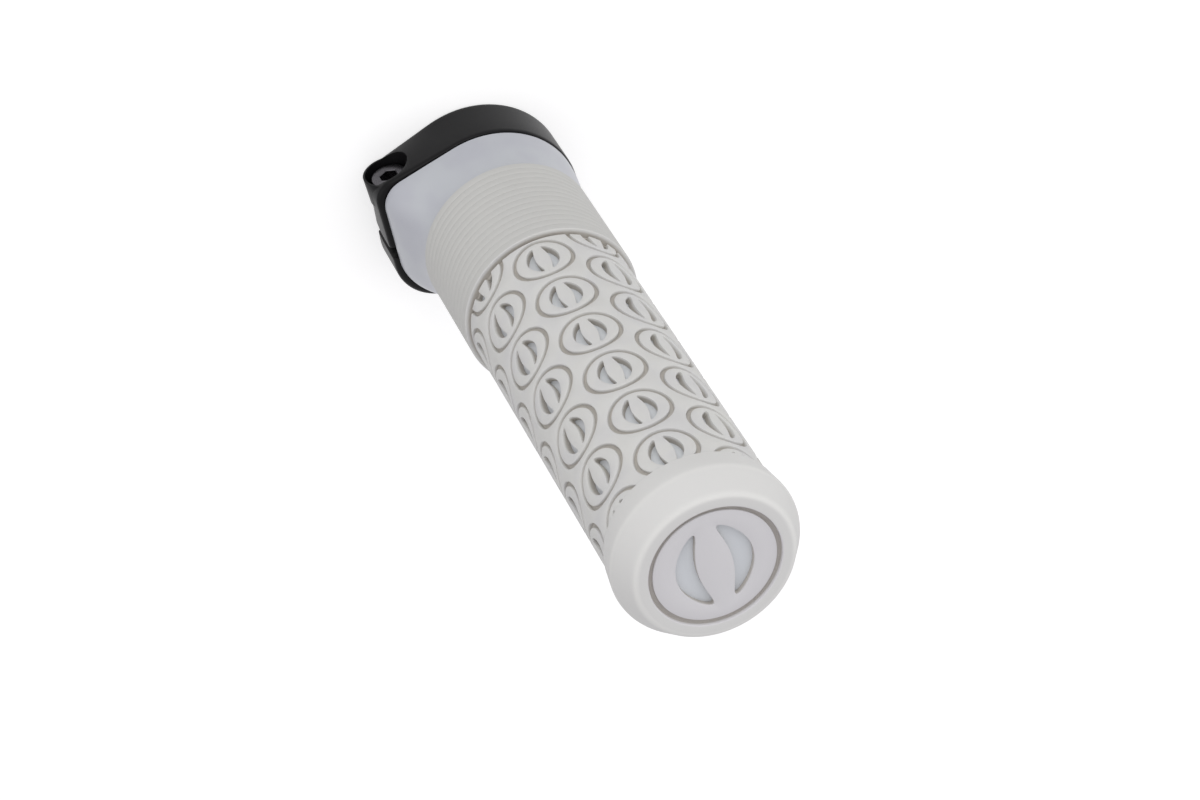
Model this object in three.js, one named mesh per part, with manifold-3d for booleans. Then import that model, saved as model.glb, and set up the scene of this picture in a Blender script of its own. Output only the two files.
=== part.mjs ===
// Lock-on bicycle handlebar grip: rubber skin, plastic core, split clamp ring and its bolt.
// Millimetres, +Z up. The origin is the centre of the bar's bore at the clamp's inboard face,
// +Z runs along the bar to the closed end, and the clamp's slit opens towards +X.
import * as THREE from "three";
import { mergeVertices } from "three/addons/utils/BufferGeometryUtils.js";
import Module from "manifold-3d";

const wasm = await Module();
wasm.setup();

// Bar and clearances
const BAR_RADIUS = 11.1;
const BAR_CLEARANCE = 0.1;
const GAP = 0.3;
const FACETS = 32;

// Lengths along the bar, from the inboard face
const CLAMP_WIDTH = 11.0;
const FLANGE_LENGTH = 10.3;
const RIB_ZONE_LENGTH = 24.2;
const TREAD_LENGTH = 72.6;
const BUMPER_LENGTH = 10.0;

// Core
const SLEEVE_WALL = 1.2;
const SLEEVE_SETBACK = 0.3;
const SLEEVE_SLOTS = 4;
const SLEEVE_SLOT_WIDTH = 2.0;
const SLEEVE_SLOT_MARGIN = 2.0;
const END_PLATE_THICKNESS = 2.2;
const CORE_WALL = 2.9;
const FLANGE_FOOT_RISE = 0.5;
const FLARE_STEPS = 6;

// Rubber. A rise is how far a surface stands above the tread.
const TREAD_WALL = 1.1;
const RIB_RISE = 0.9;
const RIB_COUNT = 13;
const RIB_GROOVE_DEPTH = 0.35;
const FIRST_GROOVE = 1.8;
const LAST_GROOVE = 1.76;
const SKIN_EDGE = 0.3;
const BUMPER_RISE = 1.3;
const BUMPER_FLAT = 1.2;
const BUMPER_SHOULDER = 3.8;
const BUMPER_OVERHANG = 0.4;
const BUMPER_BACK = 1.6;
const BUMPER_STEPS = 5;
const BUMPER_BACK_STEPS = 2;
const RIM_SETBACK = 2.5;
const RIM_WIDTH = 1.5;
const END_WALL = 1.2;
const DISC_MOAT_WIDTH = 0.85;
const DISC_MOAT_DEPTH = 0.8;

// Tread pads, in arc length and length along the bar, and the land left beside and after each
const PAD_ROWS = 8;
const PAD_PITCH = 12.5;
const FIRST_PAD = 3.7;
const PAD_SIDE_LAND = 0.47;
const PAD_END_LAND = 1.3;
const MOAT_WIDTH = 0.75;
const MOAT_DEPTH = 0.7;
const PAD_SIDES = 10;

// Crescent windows, in pairs with their hollow sides to the middle of the pad
const WINDOW_LENGTH = 6.6;
const WINDOW_WIDTH = 1.6;
const WINDOW_HOLLOW = 0.4;
const WINDOW_OFFSET = 0.95;
const WINDOW_STEPS = 2;
const LEAST_WINDOW = 2.0;
const WINDOW_MARGIN = 0.5;
const DISC_WINDOW_SCALE = 2.3;

// Clamp ring. A lobe's x is from the bolt's axis, and the head lobes' y from the top of its head.
const RING_RISE = 1.9;
const RING_EDGE = 0.8;
const RING_FRONT_ROUND = 1.0;
const SLIT_WIDTH = 1.6;
const RING_FRONT_STEPS = 3;
const HEAD_LOBE = { x: 0.1, y: 2.4, radius: 4.3 };
const THREAD_LOBE = { x: -4.6, y: 4.0, radius: 9.5 };
const FLANGE_HEAD_LOBE = { x: -1.9, y: 3.6, radius: 5.2 };
const FLANGE_THREAD_LOBE = { x: -5.4, y: 2.5, radius: 9.2 };
const FLANGE_INSET = 0.3;
const OUTLINE_STEPS = 48;

// Bolt, along Y with its head towards -Y
const BOLT_WALL = 0.5;
const BOLT_RADIUS = 2.0;
const BOLT_LENGTH = 16.0;
const BOLT_TIP = 0.4;
const HEAD_RADIUS = 3.5;
const HEAD_HEIGHT = 4.0;
const HEAD_TOP = 13.0;
const HEAD_EDGE = 0.35;
const SOCKET_RADIUS = 1.75;
const SOCKET_DEPTH = 2.2;
const SOCKET_CONE = 0.4;
const COUNTERBORE_RADIUS = 3.8;
const BOSS_WALL = 0.6;
const HEAD_SINK = 1.4;
const BOLT_FACETS = 24;
const SHANK_FACETS = 16;
const HEX_SIDES = 6;

// How far a cutter runs past what it cuts
const BEYOND = 1;

// Derived radii
const boreRadius = BAR_RADIUS + BAR_CLEARANCE;
const sleeveRadius = boreRadius + SLEEVE_WALL;
const coreRadius = boreRadius + CORE_WALL;
const skinRadius = coreRadius + GAP;
const treadRadius = skinRadius + TREAD_WALL;
const moatFloor = treadRadius - MOAT_DEPTH;
const ribRadius = treadRadius + RIB_RISE;
const footRadius = treadRadius + FLANGE_FOOT_RISE;
const bumperRadius = treadRadius + BUMPER_RISE;
const rimRadius = treadRadius - RIM_SETBACK;
const discMoatOuter = rimRadius - RIM_WIDTH;
const ringRadius = treadRadius + RING_RISE;
const clearRadius = ringRadius + BEYOND;

// Derived places and lengths
const flangeStart = CLAMP_WIDTH + GAP;
const ribStart = flangeStart + FLANGE_LENGTH;
const ribEnd = ribStart + RIB_ZONE_LENGTH;
const treadEnd = ribEnd + TREAD_LENGTH;
const gripLength = treadEnd + BUMPER_LENGTH;
const plateTop = gripLength - END_WALL - GAP;
const plateBottom = plateTop - END_PLATE_THICKNESS;
const padArc = (2 * Math.PI * treadRadius) / PAD_ROWS - PAD_SIDE_LAND;
const padLength = PAD_PITCH - PAD_END_LAND;
const ribPitch = (RIB_ZONE_LENGTH - FIRST_GROOVE - LAST_GROOVE) / (RIB_COUNT - 1);
const boltX = sleeveRadius + GAP + BOLT_WALL + BOLT_RADIUS + GAP;
const boltZ = CLAMP_WIDTH / 2;
const bossMouth = HEAD_TOP + HEAD_SINK;

// Solids

function toManifold(geometry) {
  const bare = geometry.index ? geometry.toNonIndexed() : geometry.clone();
  bare.deleteAttribute("normal");
  bare.deleteAttribute("uv");
  const merged = mergeVertices(bare, 1e-4);
  const vertProperties = new Float32Array(merged.attributes.position.array);
  const corners = Array.from(merged.index.array);
  const triVerts = [];
  for (let i = 0; i < corners.length; i += 3) {
    const [a, b, c] = corners.slice(i, i + 3);
    if (a !== b && b !== c && c !== a) triVerts.push(a, b, c);
  }
  const mesh = new wasm.Mesh({ numProp: 3, vertProperties, triVerts: Uint32Array.from(triVerts) });
  return new wasm.Manifold(mesh);
}

function toGeometry(solid) {
  const mesh = solid.getMesh();
  const geometry = new THREE.BufferGeometry();
  geometry.setAttribute("position", new THREE.BufferAttribute(new Float32Array(mesh.vertProperties), 3));
  geometry.setIndex(Array.from(mesh.triVerts));
  geometry.computeVertexNormals();
  return geometry;
}

// A solid of revolution about Z from closed [radius, z] points, outer side going up
function turned(points, facets = FACETS) {
  const outline = points.map(([r, z]) => new THREE.Vector2(r, z));
  const geometry = new THREE.LatheGeometry([...outline, outline[0]], facets);
  geometry.rotateX(Math.PI / 2);
  return toManifold(geometry);
}

// A closed skin over outlines with as many points each, lowest outline first
function lofted(outlines) {
  const count = outlines[0].length;
  const position = [];
  for (const outline of outlines) {
    for (const point of outline) position.push(point.x, point.y, point.z);
  }
  const index = [];
  for (let level = 0; level + 1 < outlines.length; level += 1) {
    for (let i = 0; i < count; i += 1) {
      const a = level * count + i;
      const b = level * count + ((i + 1) % count);
      index.push(a, b, b + count, a, b + count, a + count);
    }
  }
  const flat = outlines[0].map((point) => new THREE.Vector2(point.x, point.y));
  const top = (outlines.length - 1) * count;
  for (const [a, b, c] of THREE.ShapeUtils.triangulateShape(flat, [])) {
    index.push(c, b, a);
    index.push(top + a, top + b, top + c);
  }
  const geometry = new THREE.BufferGeometry();
  geometry.setAttribute("position", new THREE.Float32BufferAttribute(position, 3));
  geometry.setIndex(index);
  return toManifold(geometry);
}

function cylinder(radius, from, to, facets = FACETS) {
  return turned([[0, from], [radius, from], [radius, to], [0, to]], facets);
}

// A cylinder along Y through the bolt's axis
function boltwise(points, facets) {
  return turned(points, facets).rotate([90, 0, 0]).translate([boltX, 0, boltZ]);
}

function box(x0, x1, y0, y1, z0, z1) {
  const geometry = new THREE.BoxGeometry(x1 - x0, y1 - y0, z1 - z0);
  geometry.translate((x0 + x1) / 2, (y0 + y1) / 2, (z0 + z1) / 2);
  return toManifold(geometry);
}

// A cutter drawn flat (X arc length, Y along the bar) and pressed straight into the tread, with
// upright sides and a floor that follows the tread at the given radius
function pressed(shape, floor, pad) {
  const geometry = extruded(shape, 0, clearRadius);
  const position = geometry.attributes.position;
  for (let i = 0; i < position.count; i += 1) {
    const side = treadRadius * Math.sin(position.getX(i) / treadRadius);
    const height = position.getZ(i) > 0 ? clearRadius : Math.sqrt(floor * floor - side * side);
    position.setXYZ(i, height, side, position.getY(i));
  }
  const solid = toManifold(geometry);
  return solid.rotate([0, 0, pad.turn]).translate([0, 0, pad.z]);
}

function extruded(shape, low, high) {
  const geometry = new THREE.ExtrudeGeometry(shape, { depth: high - low, bevelEnabled: false });
  geometry.translate(0, 0, low);
  return geometry;
}

// Outlines

function ellipsePoints(width, length, sides) {
  const points = [];
  for (let i = 0; i < sides; i += 1) {
    const turn = ((i + 0.5) / sides) * 2 * Math.PI;
    points.push(new THREE.Vector2((width / 2) * Math.cos(turn), (length / 2) * Math.sin(turn)));
  }
  return points;
}

function moatShape() {
  const shape = new THREE.Shape(ellipsePoints(padArc, padLength, PAD_SIDES));
  const island = ellipsePoints(padArc - 2 * MOAT_WIDTH, padLength - 2 * MOAT_WIDTH, PAD_SIDES);
  shape.holes.push(new THREE.Path(island));
  return shape;
}

// A crescent on the given side of the middle, its tips on the long direction
function crescentShape(side, scale = 1) {
  const points = [];
  const reach = (WINDOW_LENGTH / 2) * scale;
  const place = (bulge, t) => {
    const x = side * scale * (WINDOW_OFFSET + bulge * (1 - t * t));
    return new THREE.Vector2(x, reach * t);
  };
  for (let i = 0; i <= 2 * WINDOW_STEPS; i += 1) {
    points.push(place(WINDOW_WIDTH + WINDOW_HOLLOW, i / WINDOW_STEPS - 1));
  }
  points.push(place(WINDOW_HOLLOW, 0));
  return new THREE.Shape(points);
}

// Farthest reach of a set of round lobes in each direction, which is their taut outline
function tautOutline(lobes, inset = 0) {
  const points = [];
  const step = (2 * Math.PI) / OUTLINE_STEPS;
  const reach = (turn) =>
    Math.max(...lobes.map((lobe) => lobe.x * Math.cos(turn) + lobe.y * Math.sin(turn) + lobe.radius - inset));
  const nudge = 1e-4;
  for (let i = 0; i < OUTLINE_STEPS; i += 1) {
    const turn = i * step;
    const out = reach(turn);
    const slope = (reach(turn + nudge) - reach(turn - nudge)) / (2 * nudge);
    const x = out * Math.cos(turn) - slope * Math.sin(turn);
    const y = out * Math.sin(turn) + slope * Math.cos(turn);
    points.push(new THREE.Vector2(x, y));
  }
  return points;
}

function atHeight(outline, z) {
  return outline.map((point) => new THREE.Vector3(point.x, point.y, z));
}

function blended(from, to, share) {
  return from.map((point, i) => point.clone().lerp(to[i], share));
}

function curvePoints(start, pull, end, steps) {
  const [a, b, c] = [start, pull, end].map(([r, z]) => new THREE.Vector2(r, z));
  return new THREE.QuadraticBezierCurve(a, b, c).getPoints(steps).map((point) => [point.x, point.y]);
}

function headLobe(lobe) {
  return { x: boltX + lobe.x, y: lobe.y - HEAD_TOP, radius: lobe.radius };
}

function threadLobe(lobe) {
  return { x: boltX + lobe.x, y: lobe.y, radius: lobe.radius };
}

const ringLobes = [{ x: 0, y: 0, radius: ringRadius }, headLobe(HEAD_LOBE), threadLobe(THREAD_LOBE)];
const flangeRound = { x: 0, y: 0, radius: ringRadius - FLANGE_INSET };
const flangeLobes = [flangeRound, headLobe(FLANGE_HEAD_LOBE), threadLobe(FLANGE_THREAD_LOBE)];
const ringOutline = tautOutline(ringLobes);
const flangeOutline = tautOutline(flangeLobes);
const flangeFoot = tautOutline([{ x: 0, y: 0, radius: footRadius }]);

// The pads' centres: every other row is half a pitch along, and the pads cut by the tread's two
// ends are kept as far as the tread goes
function padCentres() {
  const centres = [];
  for (let row = 0; row < PAD_ROWS; row += 1) {
    const turn = (row * 360) / PAD_ROWS;
    const shift = row % 2 === 0 ? 0 : PAD_PITCH / 2;
    const span = TREAD_LENGTH + padLength / 2;
    for (let down = FIRST_PAD - shift; down < span; down += PAD_PITCH) {
      centres.push({ turn, z: treadEnd - down });
    }
  }
  return centres;
}

// A pad has windows where enough of their length lies inside the tread
function hasWindows(pad) {
  const top = Math.min(pad.z + WINDOW_LENGTH / 2, treadEnd);
  const bottom = Math.max(pad.z - WINDOW_LENGTH / 2, ribEnd);
  return top - bottom > LEAST_WINDOW;
}

// The tread's stretch of the grip as a thick ring, shortened by a margin at each end
function treadZone(margin) {
  return turned([
    [boreRadius, ribEnd + margin],
    [clearRadius, ribEnd + margin],
    [clearRadius, treadEnd - margin],
    [boreRadius, treadEnd - margin],
  ]);
}

// Pieces

function coreTube() {
  return turned([
    [boreRadius, flangeStart],
    [coreRadius, flangeStart],
    [coreRadius, plateTop],
    [0, plateTop],
    [0, plateBottom],
    [boreRadius, plateBottom],
  ]);
}

// Flares from a round foot at the ribs to the clamp's outline
function coreFlange() {
  const length = FLANGE_LENGTH - GAP;
  const outlines = [];
  for (let i = 0; i <= FLARE_STEPS; i += 1) {
    const rise = i / FLARE_STEPS;
    const share = (1 + Math.cos(Math.PI * rise)) / 2;
    outlines.push(atHeight(blended(flangeFoot, flangeOutline, share), flangeStart + rise * length));
  }
  return lofted(outlines).subtract(cylinder(boreRadius, flangeStart - BEYOND, ribStart + BEYOND));
}

// The thin split end of the core that the clamp ring squeezes onto the bar
function coreSleeve() {
  const sleeve = turned([
    [boreRadius, SLEEVE_SETBACK],
    [sleeveRadius, SLEEVE_SETBACK],
    [sleeveRadius, flangeStart + BEYOND],
    [boreRadius, flangeStart + BEYOND],
  ]);
  const half = SLEEVE_SLOT_WIDTH / 2;
  const slotEnd = CLAMP_WIDTH - SLEEVE_SLOT_MARGIN;
  const slot = box(0, sleeveRadius + BEYOND, -half, half, -BEYOND, slotEnd);
  const slots = [];
  for (let i = 0; i < SLEEVE_SLOTS; i += 1) {
    slots.push(slot.rotate([0, 0, (i * 360) / SLEEVE_SLOTS]));
  }
  return sleeve.subtract(wasm.Manifold.union(slots));
}

function gripCore() {
  return coreTube().add(coreFlange()).add(coreSleeve());
}

// From the tread over the bumper's fat round to the flat rim
function bumperProfile() {
  const back = treadEnd + BUMPER_BACK;
  const peak = back + BUMPER_FLAT;
  const shoulder = gripLength - BUMPER_SHOULDER;
  const lip = bumperRadius - BUMPER_OVERHANG;
  return [
    [treadRadius, treadEnd],
    ...curvePoints([lip, treadEnd], [bumperRadius, treadEnd], [bumperRadius, back], BUMPER_BACK_STEPS),
    ...curvePoints([bumperRadius, peak], [bumperRadius, shoulder], [rimRadius, gripLength], BUMPER_STEPS),
  ];
}

function ribProfile() {
  const lowest = ribStart + LAST_GROOVE;
  const points = [
    [ribRadius - SKIN_EDGE, ribStart],
    [ribRadius, ribStart + SKIN_EDGE],
    [ribRadius, lowest - ribPitch / 2],
  ];
  for (let i = 0; i < RIB_COUNT; i += 1) {
    const groove = lowest + i * ribPitch;
    points.push([ribRadius - RIB_GROOVE_DEPTH, groove]);
    points.push([ribRadius, groove + ribPitch / 2]);
  }
  points.push([ribRadius, ribEnd - SKIN_EDGE]);
  points.push([ribRadius - SKIN_EDGE, ribEnd]);
  return points;
}

// Two windows that mirror each other across the middle
function windowPair(make) {
  return [-1, 1].map((side) => make(side));
}

function rubberSkin() {
  const pads = padCentres();
  const skin = turned([
    [skinRadius, ribStart],
    ...ribProfile(),
    ...bumperProfile(),
    [0, gripLength],
    [0, gripLength - END_WALL],
    [skinRadius, gripLength - END_WALL],
  ]);
  const moats = pads.map((pad) => pressed(moatShape(), moatFloor, pad));
  const windows = pads.filter(hasWindows).flatMap((pad) =>
    windowPair((side) => pressed(crescentShape(side), coreRadius, pad)));
  const discMoat = turned([
    [discMoatOuter - DISC_MOAT_WIDTH, gripLength - DISC_MOAT_DEPTH],
    [discMoatOuter, gripLength - DISC_MOAT_DEPTH],
    [discMoatOuter, gripLength + BEYOND],
    [discMoatOuter - DISC_MOAT_WIDTH, gripLength + BEYOND],
  ]);
  const discWindows = windowPair((side) =>
    toManifold(extruded(crescentShape(side, DISC_WINDOW_SCALE), plateTop, gripLength + BEYOND)));
  return skin.subtract(wasm.Manifold.union([
    wasm.Manifold.union(moats).intersect(treadZone(0)),
    wasm.Manifold.union(windows).intersect(treadZone(WINDOW_MARGIN)),
    discMoat,
    ...discWindows,
  ]));
}

// The ring's body: a rounded inboard edge, straight sides and a front that rounds down to the flange
function ringBody() {
  const levels = [
    atHeight(tautOutline(ringLobes, RING_EDGE), 0),
    atHeight(tautOutline(ringLobes, RING_EDGE * (1 - Math.SQRT1_2)), RING_EDGE * (1 - Math.SQRT1_2)),
    atHeight(ringOutline, RING_EDGE),
  ];
  for (let i = 0; i <= RING_FRONT_STEPS; i += 1) {
    const turn = ((i / RING_FRONT_STEPS) * Math.PI) / 2;
    const z = CLAMP_WIDTH - RING_FRONT_ROUND * (1 - Math.sin(turn));
    levels.push(atHeight(blended(ringOutline, flangeOutline, 1 - Math.cos(turn)), z));
  }
  return lofted(levels);
}

function clampRing() {
  const boss = COUNTERBORE_RADIUS + BOSS_WALL;
  const seat = HEAD_TOP - HEAD_HEIGHT - GAP;
  const hole = BOLT_RADIUS + GAP;
  const farSide = -THREAD_LOBE.y - THREAD_LOBE.radius - BEYOND;
  const slitEnd = boltX + THREAD_LOBE.x + THREAD_LOBE.radius + BEYOND;
  return ringBody()
    .add(boltwise([[0, seat], [boss, seat], [boss, bossMouth], [0, bossMouth]], BOLT_FACETS))
    .subtract(wasm.Manifold.union([
      cylinder(sleeveRadius + GAP, -BEYOND, CLAMP_WIDTH + BEYOND),
      box(boreRadius, slitEnd, -SLIT_WIDTH / 2, SLIT_WIDTH / 2, -BEYOND, CLAMP_WIDTH + BEYOND),
      boltwise([
        [0, seat],
        [COUNTERBORE_RADIUS, seat],
        [COUNTERBORE_RADIUS, bossMouth + BEYOND],
        [0, bossMouth + BEYOND],
      ], BOLT_FACETS),
      boltwise([[0, farSide], [hole, farSide], [hole, seat + BEYOND], [0, seat + BEYOND]], SHANK_FACETS),
    ]));
}

function clampBolt() {
  const under = HEAD_TOP - HEAD_HEIGHT;
  const tip = under - BOLT_LENGTH;
  const floor = HEAD_TOP - SOCKET_DEPTH;
  const bolt = boltwise([
    [0, tip],
    [BOLT_RADIUS - BOLT_TIP, tip],
    [BOLT_RADIUS, tip + BOLT_TIP],
    [BOLT_RADIUS, under],
    [HEAD_RADIUS, under],
    [HEAD_RADIUS, HEAD_TOP - HEAD_EDGE],
    [HEAD_RADIUS - HEAD_EDGE, HEAD_TOP],
    [0, HEAD_TOP],
  ], BOLT_FACETS);
  return bolt.subtract(boltwise([
    [0, floor - SOCKET_CONE],
    [SOCKET_RADIUS, floor],
    [SOCKET_RADIUS, HEAD_TOP + BEYOND],
    [0, HEAD_TOP + BEYOND],
  ], HEX_SIDES));
}

function piece(name, solid, color, roughness, metalness) {
  const material = new THREE.MeshStandardMaterial({ color, roughness, metalness });
  const mesh = new THREE.Mesh(toGeometry(solid), material);
  mesh.name = name;
  return mesh;
}

const grip = new THREE.Group();
grip.add(piece("rubber_skin", rubberSkin(), 0xd6d6d4, 0.75, 0));
grip.add(piece("grip_core", gripCore(), 0xc4c8d0, 0.45, 0));
grip.add(piece("clamp_ring", clampRing(), 0x232325, 0.4, 0.6));
grip.add(piece("clamp_bolt", clampBolt(), 0x8c8c90, 0.35, 0.9));

export default grip;
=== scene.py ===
"""Looks of a lock-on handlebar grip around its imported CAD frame.

A moulded rubber skin with a pad tread, a hard plastic core, a split clamp ring and its bolt are
shaped with bmesh operators. Every size is in millimetres, in the frame of the CAD part, and each
finished mesh is scaled to metres.
"""

from __future__ import annotations

import logging
import math
from collections.abc import Callable, Iterable, Sequence
from dataclasses import dataclass
from enum import Enum

import bmesh
import bpy
import numpy as np
from bmesh.types import BMEdge, BMFace, BMVert
from mathutils import Matrix, Vector


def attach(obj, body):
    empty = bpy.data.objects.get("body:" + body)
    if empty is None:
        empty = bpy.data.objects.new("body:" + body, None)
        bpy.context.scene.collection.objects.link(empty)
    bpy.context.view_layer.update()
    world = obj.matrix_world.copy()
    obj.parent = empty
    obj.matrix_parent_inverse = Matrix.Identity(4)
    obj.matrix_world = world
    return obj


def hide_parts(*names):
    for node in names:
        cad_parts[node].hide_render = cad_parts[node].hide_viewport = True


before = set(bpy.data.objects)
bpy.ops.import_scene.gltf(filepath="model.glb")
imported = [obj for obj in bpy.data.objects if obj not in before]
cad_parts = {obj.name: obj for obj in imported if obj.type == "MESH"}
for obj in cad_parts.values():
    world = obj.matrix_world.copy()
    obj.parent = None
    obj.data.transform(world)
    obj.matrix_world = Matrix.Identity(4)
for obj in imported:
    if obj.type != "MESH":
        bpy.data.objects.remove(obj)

LOG = logging.getLogger("grip")
METRES = 0.001

# Distances in millimetres: points that touch, points on a curve, and how a pole's tip closes
TOUCH = 1e-4
NEAR = 1e-3
POLE_RADIUS = 0.01
POLE_WELD = 0.03

# Strips across a rounded profile corner and across a softened edge
CORNER_STRIPS = 6
EDGE_STRIPS = 2

# Where blotches of noise begin and end, and how much its finer layers count
BLOTCHES = (0.35, 0.65)
NOISE_ROUGHNESS = 0.55

# The move of one point; a profile's radius, z and rounding; a colour in 8-bit screen values
Place = Callable[[Vector], Vector]
Corner = tuple[float, float, float]
Colour = tuple[float, float, float]


class Slot(Enum):
    """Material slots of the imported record."""

    RUBBER = "skin_rubber"
    CORE = "core_plastic"
    CLAMP = "clamp_metal"
    BOLT = "bolt_steel"


@dataclass(frozen=True)
class Layout:
    """Sizes that several pieces share, as the CAD part has them."""

    bore: float = 11.2
    sleeve: float = 12.4
    core: float = 14.1
    tread: float = 15.5
    clamp_width: float = 11.0
    gap: float = 0.3
    flange_start: float = 11.3
    rib_start: float = 21.6
    rib_end: float = 45.8
    tread_end: float = 118.4
    plate_bottom: float = 124.7
    plate_top: float = 126.9
    length: float = 128.4
    bolt_x: float = 15.5
    bolt_z: float = 5.5
    ring_bore: float = 12.7


@dataclass(frozen=True)
class Lobe:
    """One round corner of the clamp's outline.

    Attributes:
        x: Its centre towards the slit.
        y: Its centre across.
        radius: Its radius.
    """

    x: float
    y: float
    radius: float


class Outline:
    """The taut outline round a set of lobes, read by its angle about the bar."""

    LEAST_LEAN = 0.3

    def __init__(self, *lobes: Lobe, directions: int = 1440) -> None:
        """Measures how far the lobes reach in each direction.

        Args:
            *lobes: The lobes.
            directions: How many directions are measured.
        """
        self.facing = np.linspace(0, math.tau, directions, endpoint=False)
        spread = [
            lobe.x * np.cos(self.facing) + lobe.y * np.sin(self.facing) + lobe.radius
            for lobe in lobes
        ]
        self.reach = np.max(spread, axis=0)

    def radius(self, angle: float, inset: float = 0.0) -> float:
        """Finds how far the outline is from the bar's axis.

        Args:
            angle: Angle about the axis, in radians.
            inset: How far inside the outline to stay.

        Returns:
            The distance from the axis.
        """
        lean = np.cos(self.facing - angle)
        ahead = lean > self.LEAST_LEAN
        return float(np.min((self.reach[ahead] - inset) / lean[ahead]))


RING_OUTLINE = Outline(Lobe(0, 0, 17.4), Lobe(15.6, -10.6, 4.3), Lobe(10.9, 4.0, 9.5))
INBOARD_OUTLINE = Outline(Lobe(0, 0, 17.4), Lobe(15.0, -9.7, 3.7), Lobe(10.9, 4.0, 9.5))
FLANGE_OUTLINE = Outline(Lobe(0, 0, 17.1), Lobe(13.6, -9.4, 5.2), Lobe(10.1, 2.5, 9.2))


def verts_in(items: Iterable[object]) -> list[BMVert]:
    """Picks the vertices out of mesh parts."""
    return [item for item in items if isinstance(item, BMVert)]


class Form:
    """A mesh being shaped with bmesh operators, in millimetres."""

    def __init__(self) -> None:
        """Starts empty."""
        self.mesh = bmesh.new()

    @classmethod
    def reopen(cls, piece: bpy.types.Object) -> Form:
        """Takes a finished piece back into a form and removes its object.

        Args:
            piece: The piece's object.

        Returns:
            The form, in millimetres again.
        """
        form = cls()
        data = piece.data
        form.mesh.from_mesh(data)
        bpy.data.objects.remove(piece)
        bpy.data.meshes.remove(data)
        bmesh.ops.scale(form.mesh, vec=(1 / METRES,) * 3, verts=list(form.mesh.verts))
        return form

    def absorb(self, other: Form) -> None:
        """Adds another form's mesh to this one and closes the other.

        Args:
            other: The other form.
        """
        loose = bpy.data.meshes.new("loose")
        other.mesh.to_mesh(loose)
        other.mesh.free()
        self.mesh.from_mesh(loose)
        bpy.data.meshes.remove(loose)

    def everything(self) -> list[BMVert | BMEdge | BMFace]:
        """Lists all vertices, edges and faces."""
        return [*self.mesh.verts, *self.mesh.edges, *self.mesh.faces]

    def edges_where(self, fits: Callable[[Vector], bool]) -> list[BMEdge]:
        """Finds the edges whose ends both pass a test of where they are."""
        return [edge for edge in self.mesh.edges if all(fits(vert.co) for vert in edge.verts)]

    def edges_over(self, angle: float) -> list[BMEdge]:
        """Finds the edges at which the surface turns by more than an angle in radians."""
        folds = (edge for edge in self.mesh.edges if edge.is_manifold)
        return [edge for edge in folds if edge.calc_face_angle(0.0) > angle]

    def loft(
        self, segments: int, places: Sequence[Place], closed: bool = False
    ) -> list[list[BMEdge]]:
        """Joins a stack of unit circles with faces, then moves each to its place.

        Args:
            segments: How many edges each loop has.
            places: Where a point of the unit circle goes, loop by loop.
            closed: Whether the last loop joins the first.

        Returns:
            The edges of each loop.
        """
        stack = []
        for level in range(len(places)):
            made = bmesh.ops.create_circle(
                self.mesh,
                cap_ends=False,
                radius=1,
                segments=segments,
                matrix=Matrix.Translation((0, 0, level)),
            )
            stack.append(made["verts"])
        loops = [list({edge for vert in ring for edge in vert.link_edges}) for ring in stack]
        self.bridge(loops + loops[:1] if closed else loops)
        for ring, place in zip(stack, places):
            for vert in ring:
                vert.co = place(vert.co)
        return loops

    def bridge(self, loops: Sequence[list[BMEdge]]) -> None:
        """Joins each loop to the next with faces.

        Args:
            loops: Loops in order, none of them level with the next.
        """
        for first, second in zip(loops, loops[1:]):
            bmesh.ops.bridge_loops(self.mesh, edges=first + second)

    def push(self, edges: list[BMEdge], place: Place) -> list[BMEdge]:
        """Extrudes edges and moves the new ones.

        Args:
            edges: The edges to extrude.
            place: Where a point of theirs goes.

        Returns:
            The new edges at the far side.
        """
        made = bmesh.ops.extrude_edge_only(self.mesh, edges=edges)["geom"]
        verts = set(verts_in(made))
        for vert in verts:
            vert.co = place(vert.co)
        return [item for item in made if isinstance(item, BMEdge) and verts.issuperset(item.verts)]

    def spin(self, corners: Sequence[Corner], steps: int, closed: bool = True) -> None:
        """Turns a profile about the bar's axis.

        Args:
            corners: The profile's corners in order.
            steps: How many steps make the full turn.
            closed: Whether the profile's last corner joins its first.
        """
        verts = [self.mesh.verts.new((radius, 0, z)) for radius, z, _ in corners]
        pairs = list(zip(verts, verts[1:])) + ([(verts[-1], verts[0])] if closed else [])
        for pair in pairs:
            self.mesh.edges.new(pair)
        before = set(self.mesh.verts) - set(verts)
        for vert, (_, _, rounding) in zip(verts, corners):
            if rounding:
                self._bevel([vert], rounding, CORNER_STRIPS, "VERTICES")
        profile = [vert for vert in self.mesh.verts if vert not in before]
        edges = {edge for vert in profile for edge in vert.link_edges}
        bmesh.ops.spin(
            self.mesh,
            geom=profile + list(edges),
            cent=(0, 0, 0),
            axis=(0, 0, 1),
            dvec=(0, 0, 0),
            angle=math.tau,
            steps=steps,
            use_merge=True,
        )

    def soften(self, edges: Sequence[BMEdge], size: float) -> None:
        """Rounds edges off as far as the size reaches."""
        self._bevel(edges, size, EDGE_STRIPS, "EDGES")

    def _bevel(
        self, parts: Sequence[BMVert | BMEdge], size: float, strips: int, affect: str
    ) -> None:
        """Rounds corners of a profile or edges of a surface off.

        Args:
            parts: The vertices or edges.
            size: How far the rounding reaches.
            strips: How many strips it has.
            affect: VERTICES or EDGES.
        """
        bmesh.ops.bevel(
            self.mesh,
            geom=list(parts),
            offset=size,
            offset_type="OFFSET",
            segments=strips,
            profile=0.5,
            affect=affect,
            clamp_overlap=True,
            material=-1,
        )

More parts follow.
